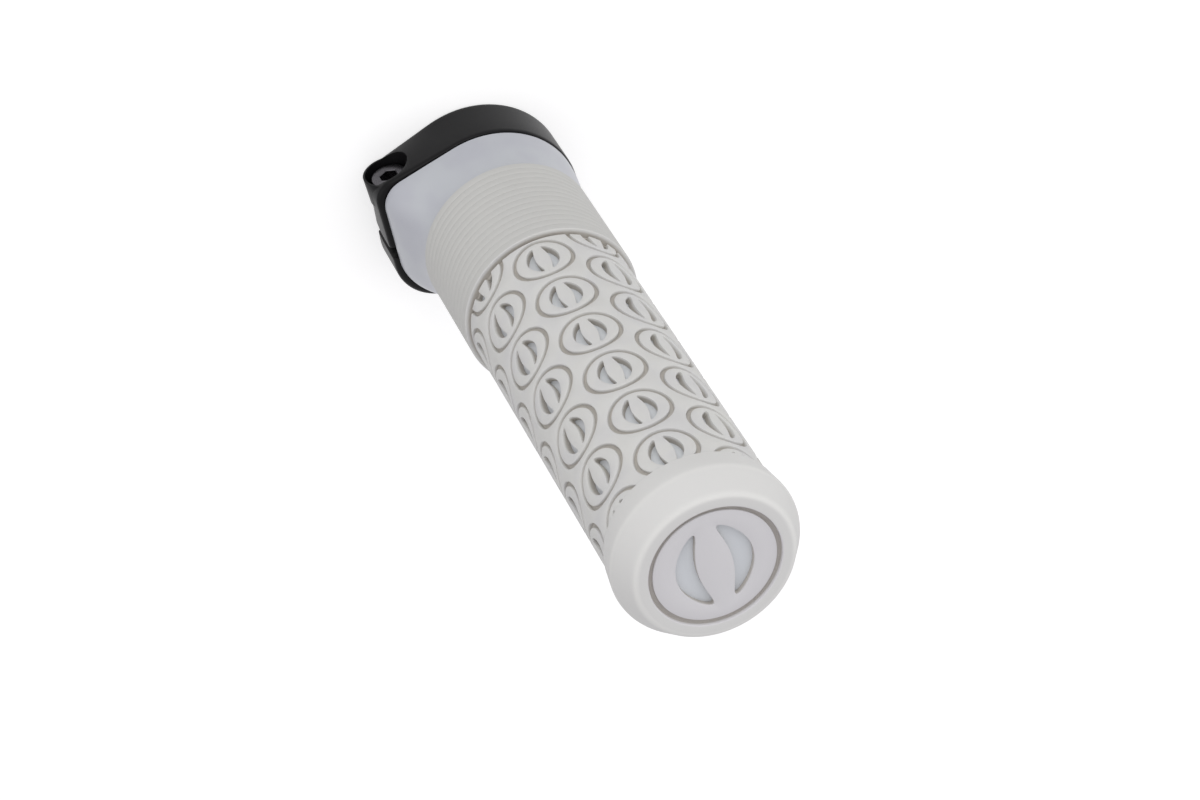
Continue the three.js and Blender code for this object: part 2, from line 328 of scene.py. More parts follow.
    def merge(self, distance: float = TOUCH) -> None:
        """Joins vertices that touch, within the distance given."""
        bmesh.ops.remove_doubles(self.mesh, verts=list(self.mesh.verts), dist=distance)

    def crop(self, z: float, keep_below: bool) -> None:
        """Cuts the mesh at a height and closes the cut.

        Args:
            z: Height of the cut.
            keep_below: Whether what is below it stays, or else what is above it.
        """
        cut = bmesh.ops.bisect_plane(
            self.mesh,
            geom=self.everything(),
            dist=TOUCH,
            plane_co=(0, 0, z),
            plane_no=(0, 0, 1 if keep_below else -1),
            clear_outer=True,
        )["geom_cut"]
        rim = [item for item in cut if isinstance(item, BMEdge) and item.is_boundary]
        bmesh.ops.holes_fill(self.mesh, edges=rim, sides=0)

    def face_out(self) -> None:
        """Turns every face of the closed mesh outwards."""
        bmesh.ops.recalc_face_normals(self.mesh, faces=list(self.mesh.faces))

    def finish(self, name: str, sharp_above: float = 35.0) -> bpy.types.Object:
        """Makes the object, in metres at the origin.

        Args:
            name: The piece's name.
            sharp_above: Angle in degrees from which an edge is shaded sharp.

        Returns:
            The new object.
        """
        limit = math.radians(sharp_above)
        for face in self.mesh.faces:
            face.smooth = True
        for edge in self.mesh.edges:
            edge.smooth = len(edge.link_faces) == 2 and edge.calc_face_angle(0.0) < limit
        bmesh.ops.scale(self.mesh, vec=(METRES,) * 3, verts=list(self.mesh.verts))
        data = bpy.data.meshes.new(name)
        self.mesh.to_mesh(data)
        self.mesh.free()
        made = bpy.data.objects.new(name, data)
        bpy.context.scene.collection.objects.link(made)
        return made


def round_place(radius: float, z: float) -> Place:
    """Gives the move from the unit circle to a round loop of that radius and height."""
    return lambda at: Vector((at.x * radius, at.y * radius, z))


def oval_place(half_x: float, half_y: float, z: float) -> Place:
    """Gives the move from the unit circle to an oval loop of those half widths."""
    return lambda at: Vector((at.x * half_x, at.y * half_y, z))


def outline_place(outline: Outline, inset: float, z: float) -> Place:
    """Gives the move from the unit circle to a lobed outline.

    Args:
        outline: The outline.
        inset: How far inside it the loop stays.
        z: The loop's height.

    Returns:
        The move of one point.
    """

    def place(at: Vector) -> Vector:
        """Moves one point out to the outline."""
        reach = outline.radius(math.atan2(at.y, at.x), inset)
        return Vector((at.x * reach, at.y * reach, z))

    return place


def rectangle_place(half_x: float, half_y: float, z: float) -> Place:
    """Gives the move from the unit circle to a rectangle with evenly spaced points.

    Args:
        half_x: Half its width.
        half_y: Half its length.
        z: Its height.

    Returns:
        The move of one point.
    """

    def place(at: Vector) -> Vector:
        """Moves one point to the side that it faces."""
        turns = math.atan2(at.y, at.x) / (math.pi / 2)
        side = round(turns)
        share = 2 * (turns - side)
        along = [
            (half_x, share * half_y),
            (-share * half_x, half_y),
            (-half_x, -share * half_y),
            (share * half_x, -half_y),
        ][side % 4]
        return Vector((along[0], along[1], z))

    return place


@dataclass(frozen=True)
class Crescents:
    """Two crescent windows that mirror each other across a pad's middle.

    Attributes:
        length: Their length along the pad.
        width: Their width halfway.
        hollow: How far their inner side bows out.
        offset: How far their tips are from the pad's middle.
        cuts: How many points part the pad's middle line.
    """

    length: float = 7.3
    width: float = 1.6
    hollow: float = 0.4
    offset: float = 0.95
    cuts: int = 11

    def seat(self, side: int, reach: float) -> Place:
        """Gives the move from the outline of a pad's half to its window.

        Args:
            side: 1 or -1, the half's side.
            reach: Half the pad's length.

        Returns:
            The move of one point.
        """

        def place(at: Vector) -> Vector:
            """Moves one point of the half's outline onto the window's edge."""
            share = max(-1.0, min(1.0, at.y / reach))
            outside = abs(at.x) > TOUCH
            turn = math.asin(share) if outside else share * math.pi / 2
            bow = math.cos(turn) ** 2
            across = self.offset + (self.hollow + self.width / 2) * bow
            across += self.width / 2 * math.cos(turn) * (1 if outside else -1)
            return Vector((side * across, math.sin(turn) * self.length / 2, at.z))

        return place

    def open(self, form: Form, rim: list[BMEdge], floor: list[BMEdge], soften: float) -> None:
        """Opens both windows through a slab.

        Args:
            form: The mesh that holds the slab's two open outlines.
            rim: The outline on top.
            floor: The outline on the underside.
            soften: How much the windows' upper edges are rounded.
        """
        mouths, feet = self._halves(form, rim), self._halves(form, floor)
        for mouth, foot in zip(mouths, feet):
            form.bridge([mouth, foot])
        form.face_out()
        form.soften(mouths[0] + mouths[1], soften)

    def _halves(self, form: Form, rim: list[BMEdge]) -> list[list[BMEdge]]:
        """Parts an open outline along its long middle and fills each half up to its window.

        Args:
            form: The mesh that holds it.
            rim: The outline's edges.

        Returns:
            The edges of the windows towards -X and +X.
        """
        poles = [
            vert for vert in {vert for edge in rim for vert in edge.verts} if abs(vert.co.x) < TOUCH
        ]
        height = poles[0].co.z
        reach = abs(poles[0].co.y)
        middle = form.mesh.edges.new(poles)
        bmesh.ops.subdivide_edges(form.mesh, edges=[middle], cuts=self.cuts)
        line = [
            edge
            for edge in form.mesh.edges
            if abs(edge.verts[0].co.y + edge.verts[1].co.y) < 2 * reach
            and all(abs(vert.co.x) < TOUCH and abs(vert.co.z - height) < TOUCH for vert in edge.verts)
        ]
        halves = [
            line + [edge for edge in rim if side * (edge.verts[0].co.x + edge.verts[1].co.x) > 0]
            for side in (-1, 1)
        ]
        return [form.push(half, self.seat(side, reach)) for side, half in zip((-1, 1), halves)]


@dataclass
class RubberSkin:
    """The moulded rubber: ribbed collar, pad tread and closed bumper end."""

    layout: Layout = Layout()
    rows: int = 8
    pitch: float = 12.5
    first_pad: float = 3.7
    side_land: float = 0.47
    end_land: float = 1.3
    moat_width: float = 0.75
    moat_depth: float = 0.7
    moat_edge: float = 0.2
    moat_floor_edge: float = 0.16
    moat_turn: float = 1.0
    window_edge: float = 0.14
    pad_segments: int = 64
    seat_gap: float = 0.02
    rib_radius: float = 16.4
    rib_count: int = 13
    rib_depth: float = 0.11
    rib_half: float = 0.4
    rib_shares: tuple[float, ...] = (-1.0, -0.7, -0.35, 0.0, 0.35, 0.7, 1.0)
    collar_edge: float = 0.3
    groove_width: float = 0.55
    groove_depth: float = 0.7
    first_groove: float = 1.8
    last_groove: float = 1.76
    bumper_lip: float = 15.95
    lip_round: float = 0.35
    bumper_radius: float = 16.68
    bumper_crease: float = 123.6
    crease_round: float = 1.0
    rim_radius: float = 13.95
    rim_round: float = 0.6
    disc_radius: float = 11.65
    disc_moat: float = 0.85
    disc_moat_depth: float = 0.95
    disc_moat_edge: float = 0.22
    disc_moat_floor_edge: float = 0.15
    disc_drop: float = 0.4
    disc_edge: float = 0.14
    steps: int = 128
    windows: Crescents = Crescents()
    disc_windows: Crescents = Crescents(length=15.2, width=3.7, hollow=0.92, offset=2.2, cuts=23)

    def build(self) -> bpy.types.Object:
        """Shapes the whole skin.

        Returns:
            The skin's object.
        """
        form = self._tread()
        self._collar(form)
        self._bumper(form)
        form.merge()
        form.face_out()
        return form.finish("rubber_skin_moulded")

    def _tile(self) -> Form:
        """Shapes one pad with the land round it, drawn flat with X round the bar.

        Returns:
            The tile's form, open at its four sides.
        """
        tile = Form()
        half_arc = math.pi * self.layout.tread / self.rows
        half_pitch = self.pitch / 2
        outer = (half_arc - self.side_land / 2, half_pitch - self.end_land / 2)
        inner = (outer[0] - self.moat_width, outer[1] - self.moat_width)
        underside = self.layout.core + self.seat_gap - self.layout.tread
        top = [
            rectangle_place(half_arc, half_pitch, 0),
            oval_place(*outer, 0),
            oval_place(*outer, -self.moat_depth),
            oval_place(*inner, -self.moat_depth),
            oval_place(*inner, 0),
        ]
        bottom = [
            rectangle_place(half_arc, half_pitch, underside),
            oval_place(*inner, underside),
        ]
        rim = tile.loft(self.pad_segments, top)[-1]
        floor = tile.loft(self.pad_segments, bottom)[-1]
        self.windows.open(tile, rim, floor, self.window_edge)
        for z, size in ((0, self.moat_edge), (-self.moat_depth, self.moat_floor_edge)):
            folds = set(tile.edges_over(self.moat_turn))
            tile.soften([edge for edge in self._ovals(tile, outer, inner, z) if edge in folds], size)
        return tile

    def _ovals(
        self, tile: Form, outer: tuple[float, float], inner: tuple[float, float], z: float
    ) -> list[BMEdge]:
        """Finds the moat's two ovals at a height.

        Args:
            tile: The tile's form.
            outer: Half widths of the moat's outside.
            inner: Half widths of the pad.
            z: The height.

        Returns:
            The edges that run along either oval.
        """

        def on_oval(at: Vector, half: tuple[float, float]) -> bool:
            """Tells whether a point lies on an oval at that height."""
            return abs(math.hypot(at.x / half[0], at.y / half[1]) - 1) < NEAR and abs(at.z - z) < TOUCH

        return [
            *tile.edges_where(lambda at: on_oval(at, outer)),
            *tile.edges_where(lambda at: on_oval(at, inner)),
        ]

    def _tread(self) -> Form:
        """Lays the tiles out flat, rolls them round the bar and trims both ends.

        Returns:
            The tread as a closed tube.
        """
        form = self._tile()
        tile = form.everything()
        arc = math.tau * self.layout.tread / self.rows
        span = self.layout.tread_end - self.layout.rib_end
        for row in range(self.rows):
            down = self.first_pad - (row % 2) * self.pitch / 2
            while down - self.pitch / 2 < span:
                copied = bmesh.ops.duplicate(form.mesh, geom=tile)["geom"]
                offset = (row * arc, self.layout.tread_end - down, 0)
                bmesh.ops.translate(form.mesh, verts=verts_in(copied), vec=offset)
                down += self.pitch
        bmesh.ops.delete(form.mesh, geom=verts_in(tile), context="VERTS")
        for vert in form.mesh.verts:
            turn = vert.co.x / self.layout.tread
            radius = self.layout.tread + vert.co.z
            vert.co = (radius * math.cos(turn), radius * math.sin(turn), vert.co.y)
        form.merge(NEAR)
        form.crop(self.layout.tread_end, keep_below=True)
        form.crop(self.layout.rib_end + self.groove_width, keep_below=False)
        form.face_out()
        return form

    def _collar(self, form: Form) -> None:
        """Adds the ribbed collar and the narrow groove between it and the tread.

        Args:
            form: The skin's form.
        """
        at = self.layout
        inside = at.core + self.seat_gap
        floor = at.tread - self.groove_depth
        end = at.rib_end + self.groove_width
        room = at.rib_end - at.rib_start - self.first_groove - self.last_groove
        corners = [(inside, at.rib_start, 0), (self.rib_radius, at.rib_start, self.collar_edge)]
        for index in range(self.rib_count):
            middle = at.rib_start + self.last_groove + room * index / (self.rib_count - 1)
            for share in self.rib_shares:
                sink = self.rib_depth * (1 + math.cos(math.pi * share)) / 2
                corners.append((self.rib_radius - sink, middle + self.rib_half * share, 0))
        corners += [
            (self.rib_radius, at.rib_end, self.collar_edge),
            (floor, at.rib_end, 0),
            (floor, end, 0),
            (inside, end, 0),
        ]
        form.spin(corners, self.steps)

    def _bumper(self, form: Form) -> None:
        """Adds the fat bumper, its rim and the end disc with its two windows.

        Args:
            form: The skin's form.
        """
        at = self.layout
        inside = at.core + self.seat_gap
        ceiling = at.plate_top + self.seat_gap
        top = at.length
        inner = self.disc_radius - self.disc_moat
        moat_floor = top - self.disc_moat_depth
        corners = [
            (inside, ceiling, 0),
            (inside, at.tread_end, 0),
            (self.bumper_lip, at.tread_end, self.lip_round),
            (self.bumper_radius, self.bumper_crease, self.crease_round),
            (self.rim_radius, top, self.rim_round),
            (self.disc_radius, top, self.disc_moat_edge),
            (self.disc_radius, moat_floor, self.disc_moat_floor_edge),
            (inner, moat_floor, self.disc_moat_floor_edge),
            (inner, top - self.disc_drop, 0),
        ]
        part = Form()
        part.spin(corners, self.steps, closed=False)
        part.merge()
        ends = [edge for edge in part.mesh.edges if edge.is_boundary]
        lid = [edge for edge in ends if edge.verts[0].co.z > ceiling + at.gap]
        floor = [edge for edge in ends if edge.verts[0].co.z < ceiling + at.gap]
        self.disc_windows.open(part, lid, floor, self.window_edge)
        lid_z = top - self.disc_drop
        lid_edge = part.edges_where(
            lambda point: abs(point.xy.length - inner) < NEAR and abs(point.z - lid_z) < TOUCH
        )
        part.soften(lid_edge, self.disc_edge)
        part.face_out()
        form.absorb(part)


@dataclass
class GripCore:
    """The hard plastic core: flared flange, tube under the rubber and the split sleeve."""

    layout: Layout = Layout()
    segments: int = 216
    foot_radius: float = 16.0
    flare_steps: int = 16
    slot_top: float = 9.0
    sleeve_start: float = 0.3
    slots: int = 4
    slot_half_angle: float = 5.0

    def build(self) -> bpy.types.Object:
        """Shapes the core.

        Returns:
            The core's object.
        """
        form = Form()
        at = self.layout
        places = [
            round_place(POLE_RADIUS, at.plate_top),
            round_place(at.core, at.plate_top),
            round_place(at.core, at.rib_start),
            round_place(self.foot_radius, at.rib_start),
        ]
        places += [self._flare(step / self.flare_steps) for step in range(1, self.flare_steps + 1)]
        places += [
            round_place(at.sleeve, at.flange_start),
            round_place(at.sleeve, self.slot_top),
            round_place(at.bore, self.slot_top),
            round_place(at.bore, at.plate_bottom),
            round_place(POLE_RADIUS, at.plate_bottom),
        ]
        form.loft(self.segments, places)
        self._sleeve(form)
        form.merge(POLE_WELD)
        form.face_out()
        return form.finish("grip_core_moulded", sharp_above=40.0)

    def _flare(self, share: float) -> Place:
        """Shapes one level of the flare from the round foot to the clamp's outline.

        Args:
            share: How far along the flare it is, from 0 at the foot.

        Returns:
            The move from the unit circle to the level's loop.
        """
        swell = (1 - math.cos(math.pi * share)) / 2
        z = self.layout.rib_start + (self.layout.flange_start - self.layout.rib_start) * share
        foot = round_place(self.foot_radius, z)
        wide = outline_place(FLANGE_OUTLINE, 0, z)
        return lambda at: foot(at).lerp(wide(at), swell)

    def _sleeve(self, form: Form) -> None:
        """Grows the sleeve's tongues down from the slots' ends.

        Args:
            form: The core's form.
        """
        spacing = 360 / self.slots
        tongues = []
        for face in form.mesh.faces:
            middle = face.calc_center_median()
            if abs(middle.z - self.slot_top) > TOUCH or middle.xy.length > self.layout.sleeve:
                continue
            angle = math.degrees(math.atan2(middle.y, middle.x))
            turned = (angle + spacing / 2) % spacing - spacing / 2
            if abs(turned) > self.slot_half_angle:
                tongues.append(face)
        grown = bmesh.ops.extrude_face_region(form.mesh, geom=tongues)["geom"]
        bmesh.ops.delete(form.mesh, geom=tongues, context="FACES")
        fall = (0, 0, self.sleeve_start - self.slot_top)
        bmesh.ops.translate(form.mesh, verts=verts_in(grown), vec=fall)


@dataclass
class ClampRing:
    """The split clamp ring with its counterbored lobe."""

    layout: Layout = Layout()
    segments: int = 216
    inboard_round: float = 0.8
    inboard_steps: int = 5
    front_round: float = 1.0
    front_steps: int = 6
    lobe_taper: float = 7.0
    taper_shares: tuple[float, ...] = (0.2, 0.35, 0.5, 0.75, 1.0)
    bore_edge: float = 0.3
    cut_edge: float = 0.16
    cut_angle: float = 40.0
    cut_weld: float = 0.02
    slit_width: float = 2.4
    slit_length: float = 16.0
    slit_start: float = -1.5
    seat: float = 8.7
    mouth: float = 13.9
    boss_radius: float = 4.7
    counterbore: float = 4.3
    bolt_hole: float = 2.3
    hole_end: float = -22.0
    hole_overlap: float = 1.0
    hole_segments: int = 96
    beyond: float = 6.0

    def build(self) -> bpy.types.Object:
        """Shapes the ring and cuts its slit and holes.

        Returns:
            The ring's object.
        """
        blank = self._blank().finish("ring_blank")
        boss = self._along_bolt(self.boss_radius, self.seat, self.mouth, "boss_cutter")
        cuts = [
            self._slit(),
            self._along_bolt(
                self.counterbore, self.seat, self.mouth + self.beyond, "counterbore_cutter"
            ),
            self._along_bolt(
                self.bolt_hole, self.hole_end, self.seat + self.hole_overlap, "hole_cutter"
            ),
        ]
        self._combine(blank, boss, "UNION")
        for cutter in cuts:
            self._combine(blank, cutter, "DIFFERENCE")
        return self._dress_edges(blank)

    def _blank(self) -> Form:
        """Shapes the ring before it is cut.

        Returns:
            The closed ring's form.
        """
        form = Form()
        at = self.layout
        width = at.clamp_width
        places = [
            round_place(at.ring_bore, width - self.bore_edge),
            round_place(at.ring_bore, self.bore_edge),
            round_place(at.ring_bore + self.bore_edge, 0),
        ]
        for step in range(self.inboard_steps + 1):
            turn = step / self.inboard_steps * math.pi / 2
            inset = self.inboard_round * (1 - math.sin(turn))
            z = self.inboard_round * (1 - math.cos(turn))
            places.append(self._back(inset, z))
        for share in self.taper_shares:
            places.append(self._back(0, self.lobe_taper * share))
        for step in range(self.front_steps + 1):
            turn = step / self.front_steps * math.pi / 2
            places.append(self._front(1 - math.cos(turn), math.sin(turn)))
        places.append(round_place(at.ring_bore + self.bore_edge, width))
        form.loft(self.segments, places, closed=True)
        form.face_out()
        return form

    def _back(self, inset: float, z: float) -> Place:
        """Shapes one level near the inboard face, where the lobe is slimmer.

        Args:
            inset: How far the level stays inside the outline.
            z: Its height.

        Returns:
            The move from the unit circle to the level's loop.
        """
        share = (1 - z / self.lobe_taper) ** 2
        wide = outline_place(RING_OUTLINE, inset, z)
        slim = outline_place(INBOARD_OUTLINE, inset, z)
        return lambda at: wide(at).lerp(slim(at), share)

    def _front(self, share: float, rise: float) -> Place:
        """Shapes one level of the front edge, which rounds down to the flange's outline.

        Args:
            share: How far in it is, from 0 at the ring's outline to 1 at the flange's.
            rise: How far up the rounding it is, from 0 to 1.

        Returns:
            The move from the unit circle to the level's loop.
        """
        z = self.layout.clamp_width - self.front_round * (1 - rise)
        wide = outline_place(RING_OUTLINE, 0, z)
        narrow = outline_place(FLANGE_OUTLINE, 0, z)
        return lambda at: wide(at).lerp(narrow(at), share)

    def _along_bolt(self, radius: float, near: float, far: float, name: str) -> bpy.types.Object:
        """Makes a plain round bar along the bolt's axis.

        Args:
            radius: Its radius.
            near: How far towards -Y it starts.
            far: How far towards -Y it ends.
            name: A name for the helper.

        Returns:
            The helper's object.
        """
        form = Form()
        middle = Vector((self.layout.bolt_x, -(near + far) / 2, self.layout.bolt_z))
        bmesh.ops.create_cone(
            form.mesh,
            cap_ends=True,
            segments=self.hole_segments,
            radius1=radius,
            radius2=radius,
            depth=far - near,
            matrix=Matrix.Translation(middle) @ Matrix.Rotation(math.pi / 2, 4, "X"),
        )
        return form.finish(name)

    def _slit(self) -> bpy.types.Object:
        """Makes the flat cutter of the slit.

        Returns:
            The cutter's object.
        """
        form = Form()
        height = self.layout.clamp_width + self.beyond
        size = Matrix.Diagonal((self.slit_length, self.slit_width, height, 1))
        start = self.layout.ring_bore + self.slit_start
        middle = Vector((start + self.slit_length / 2, 0, self.layout.bolt_z))
        bmesh.ops.create_cube(form.mesh, size=1, matrix=Matrix.Translation(middle) @ size)
        return form.finish("slit_cutter")

    def _combine(self, base: bpy.types.Object, tool: bpy.types.Object, operation: str) -> None:
        """Joins a helper to the ring or cuts it away, then removes the helper.

        Args:
            base: The ring's object.
            tool: The helper's object.
            operation: UNION or DIFFERENCE.
        """
        modifier = base.modifiers.new("shape", "BOOLEAN")
        modifier.operation = operation
        modifier.solver = "EXACT"
        modifier.object = tool
        graph = bpy.context.evaluated_depsgraph_get()
        shaped = bpy.data.meshes.new_from_object(base.evaluated_get(graph))
        base.modifiers.remove(modifier)
        old = base.data
        base.data = shaped
        bpy.data.meshes.remove(old)
        bpy.data.objects.remove(tool)

    def _dress_edges(self, ring: bpy.types.Object) -> bpy.types.Object:
        """Breaks the cut edges as a machinist does.

        Args:
            ring: The cut ring.

        Returns:
            The finished ring's object.
        """
        form = Form.reopen(ring)
        form.merge(self.cut_weld)
        form.soften(form.edges_over(math.radians(self.cut_angle)), self.cut_edge)
        return form.finish("clamp_ring_machined")


@dataclass
class ClampBolt:
    """The socket head bolt that closes the clamp, along Y with its head towards -Y."""

    layout: Layout = Layout()
    radius: float = 2.0
    length: float = 16.0
    head_radius: float = 3.5
    head_height: float = 4.0
    head_top: float = 13.0
    socket_radius: float = 1.75
    socket_depth: float = 2.2
    socket_cone: float = 0.4
    thread_pitch: float = 0.7
    thread_depth: float = 0.3
    plain_shank: float = 1.6
    tip_chamfer: float = 0.4
    head_round: float = 0.4
    head_foot_round: float = 0.15
    socket_rim: float = 0.45
    socket_chamfer: float = 0.18
    steps: int = 48

    def build(self) -> bpy.types.Object:
        """Shapes the bolt upright, then lays it along Y in its hole.

        Returns:
            The bolt's object.
        """
        form = Form()
        under = self.head_top - self.head_height
        tip = under - self.length
        corners = [(0, tip, 0), (self.radius - self.tip_chamfer, tip, 0)]
        z = tip + self.tip_chamfer
        while z < under - self.plain_shank:
            root = (self.radius - self.thread_depth, z + self.thread_pitch / 2, 0)
            corners += [(self.radius, z, 0), root]
            z += self.thread_pitch
        corners += [
            (self.radius, z, 0),
            (self.radius, under, 0),
            (self.head_radius, under, self.head_foot_round),
            (self.head_radius, self.head_top, self.head_round),
            (self.socket_radius + self.socket_rim, self.head_top, 0),
        ]
        form.spin(corners, self.steps, closed=False)
        self._socket(form)
        form.face_out()
        lay = Matrix.Translation((self.layout.bolt_x, 0, self.layout.bolt_z))
        turn = Matrix.Rotation(math.pi / 2, 4, "X")
        bmesh.ops.transform(form.mesh, matrix=lay @ turn, verts=list(form.mesh.verts))
        return form.finish("clamp_bolt_threaded", sharp_above=30.0)

    def _socket(self, form: Form) -> None:
        """Sinks the hexagon socket into the head.

        Args:
            form: The bolt's form.
        """
        side = math.tau / 6

        def hexagon(reach: float, z: float) -> Place:
            """Gives the move from the unit circle to a hexagon with corners that far out."""

            def place(at: Vector) -> Vector:
                """Moves one point out to the nearest flat."""
                angle = math.atan2(at.y, at.x)
                lean = (angle + side / 2) % side - side / 2
                size = reach * math.cos(side / 2) / math.cos(lean)
                return Vector((at.x * size, at.y * size, z))

            return place

        floor = self.head_top - self.socket_depth
        levels = [
            round_place(self.socket_radius + self.socket_rim, self.head_top),
            hexagon(self.socket_radius + self.socket_chamfer, self.head_top),
            hexagon(self.socket_radius, self.head_top - self.socket_chamfer),
            hexagon(self.socket_radius, floor),
            round_place(POLE_RADIUS, floor - self.socket_cone),
        ]
        form.loft(self.steps, levels)
        form.merge(POLE_WELD)


@dataclass(frozen=True)
class Cloud:
    """A noise over a surface.

    Attributes:
        size: Size of its blotches in millimetres.
        detail: How many finer layers it has.
        change: How much the roughness changes with it.
    """

    size: float
    detail: float = 2.0
    change: float = 0.0


class Socket:
    """A node's output that Python arithmetic turns into Math nodes."""

    def __init__(self, graph: Graph, link: bpy.types.NodeSocket) -> None:
        """Wraps one output of a graph's node."""
        self.graph = graph
        self.link = link

    def _math(self, operation: str, *values: Socket | float) -> Socket:
        """Adds a Math node on the values given."""
        return self.graph.node("ShaderNodeMath", {"operation": operation}, dict(enumerate(values)))

    def __add__(self, other: Socket | float) -> Socket:
        """Adds."""
        return self._math("ADD", self, other)

    __radd__ = __add__

    def __mul__(self, other: Socket | float) -> Socket:
        """Multiplies."""
        return self._math("MULTIPLY", self, other)

    __rmul__ = __mul__

    def __sub__(self, other: Socket | float) -> Socket:
        """Subtracts."""
        return self._math("SUBTRACT", self, other)

    def __rsub__(self, other: Socket | float) -> Socket:
        """Subtracts from a number."""
        return self._math("SUBTRACT", other, self)

    def larger(self, other: Socket | float) -> Socket:
        """Takes the larger of two values."""
        return self._math("MAXIMUM", self, other)

    def step_up(self, low: float, high: float) -> Socket:
        """Goes smoothly from 0 at low to 1 at high."""
        settings = {"interpolation_type": "SMOOTHSTEP"}
        return self.graph.node(
            "ShaderNodeMapRange", settings, {"Value": self, "From Min": low, "From Max": high}
        )


class Graph:
    """A node tree that starts empty."""

    def __init__(self, tree: bpy.types.NodeTree) -> None:
        """Clears the tree."""
        self.tree = tree
        self.tree.nodes.clear()

    def node(
        self,
        kind: str,
        settings: dict[str, object],
        inputs: dict[str | int, object],
        output: str | int = 0,
    ) -> Socket:
        """Adds a node.

        Args:
            kind: The node's type.
            settings: Its properties, which are set first.
            inputs: Values or links of its sockets.
            output: Which output to give back.

        Returns:
            That output.
        """
        made = self.tree.nodes.new(kind)
        for key, value in settings.items():
            setattr(made, key, value)
        for key, value in inputs.items():
            self.feed(made.inputs[key], value)
        return Socket(self, made.outputs[output] if len(made.outputs) else None)

    def feed(self, target: bpy.types.NodeSocket, value: object) -> None:
        """Links or sets one socket.

        Args:
            target: The socket.
            value: Another node's output, or a plain value.
        """
        if isinstance(value, Socket):
            self.tree.links.new(value.link, target)
        else:
            target.default_value = value

    def backdrop(self) -> Socket:
        """Tells the rays that show the background, straight or by way of metal or glass.

        Returns:
            1 for such a ray and 0 for others.
        """
        shown = [
            self.node("ShaderNodeLightPath", {}, {}, name)
            for name in ("Is Camera Ray", "Is Glossy Ray", "Is Transmission Ray")
        ]
        return shown[0].larger(shown[1]).larger(shown[2])


class Shader(Graph):
    """One material's node tree, with its Principled surface."""

    def __init__(self, name: str) -> None:
        """Starts a material with only its Principled shader."""
        self.material = bpy.data.materials.new(name)
        self.material.use_nodes = True
        super().__init__(self.material.node_tree)
        self.surface = self.tree.nodes.new("ShaderNodeBsdfPrincipled")
        self.node("ShaderNodeOutputMaterial", {}, {0: Socket(self, self.surface.outputs[0])})

    def fill(self, **inputs: object) -> None:
        """Sets the Principled shader's sockets, named with underscores for spaces."""
        for key, value in inputs.items():
            self.feed(self.surface.inputs[key.replace("_", " ")], value)

    def place(self) -> Socket:
        """Gives the point in object coordinates, in metres."""
        return self.node("ShaderNodeTexCoord", {}, {}, "Object")

    def height(self, at: Socket) -> Socket:
        """Gives a point's height along the bar."""
        return self.node("ShaderNodeSeparateXYZ", {}, {0: at}, "Z")

    def radius(self, at: Socket) -> Socket:
        """Gives a point's distance from the bar's axis."""
        flat = self.node("ShaderNodeVectorMath", {"operation": "MULTIPLY"}, {0: at, 1: (1.0, 1.0, 0.0)})
        return self.node("ShaderNodeVectorMath", {"operation": "LENGTH"}, {0: flat}, "Value")

    def noise(self, at: Socket, cloud: Cloud) -> Socket:
        """Gives cloudy noise from 0 to 1, read at the point given."""
        scale = 1 / (cloud.size * METRES)
        inputs = {"Vector": at, "Scale": scale, "Detail": cloud.detail, "Roughness": NOISE_ROUGHNESS}
        return self.node("ShaderNodeTexNoise", {}, inputs, "Fac")

    def blend(self, share: Socket | float, low: object, high: object) -> Socket:
        """Mixes two colours by a share from 0 to 1."""
        inputs = {"Factor": share, 6: low, 7: high}
        return self.node("ShaderNodeMix", {"data_type": "RGBA"}, inputs, 2)

    def bump(self, height: Socket, depth: float, strength: float) -> Socket:
        """Turns a height into a normal, with its depth in millimetres."""
        inputs = {"Height": height, "Distance": depth * METRES, "Strength": strength}
        return self.node("ShaderNodeBump", {}, inputs, "Normal")


def paint(red: float, green: float, blue: float) -> tuple[float, float, float, float]:
    """Turns 8-bit screen values into what a colour socket holds.

    Args:
        red: The red value.
        green: The green value.
        blue: The blue value.

    Returns:
        The linear colour with full alpha.
    """
    linear = []
    for value in (red, green, blue):
        share = value / 255
        linear.append(share / 12.92 if share <= 0.04045 else ((share + 0.055) / 1.055) ** 2.4)
    return (*linear, 1.0)


def below(value: Socket, middle: float, half: float) -> Socket:
    """Gives 1 under a level in millimetres and 0 over it, with a soft edge of that half width."""
    return 1 - value.step_up((middle - half) * METRES, (middle + half) * METRES)


def near(value: Socket, middle: float, half: float) -> Socket:
    """Gives 1 at a level in millimetres, and 0 from twice the half width on either side."""
    return below(value, middle + half, half) - below(value, middle - half, half)


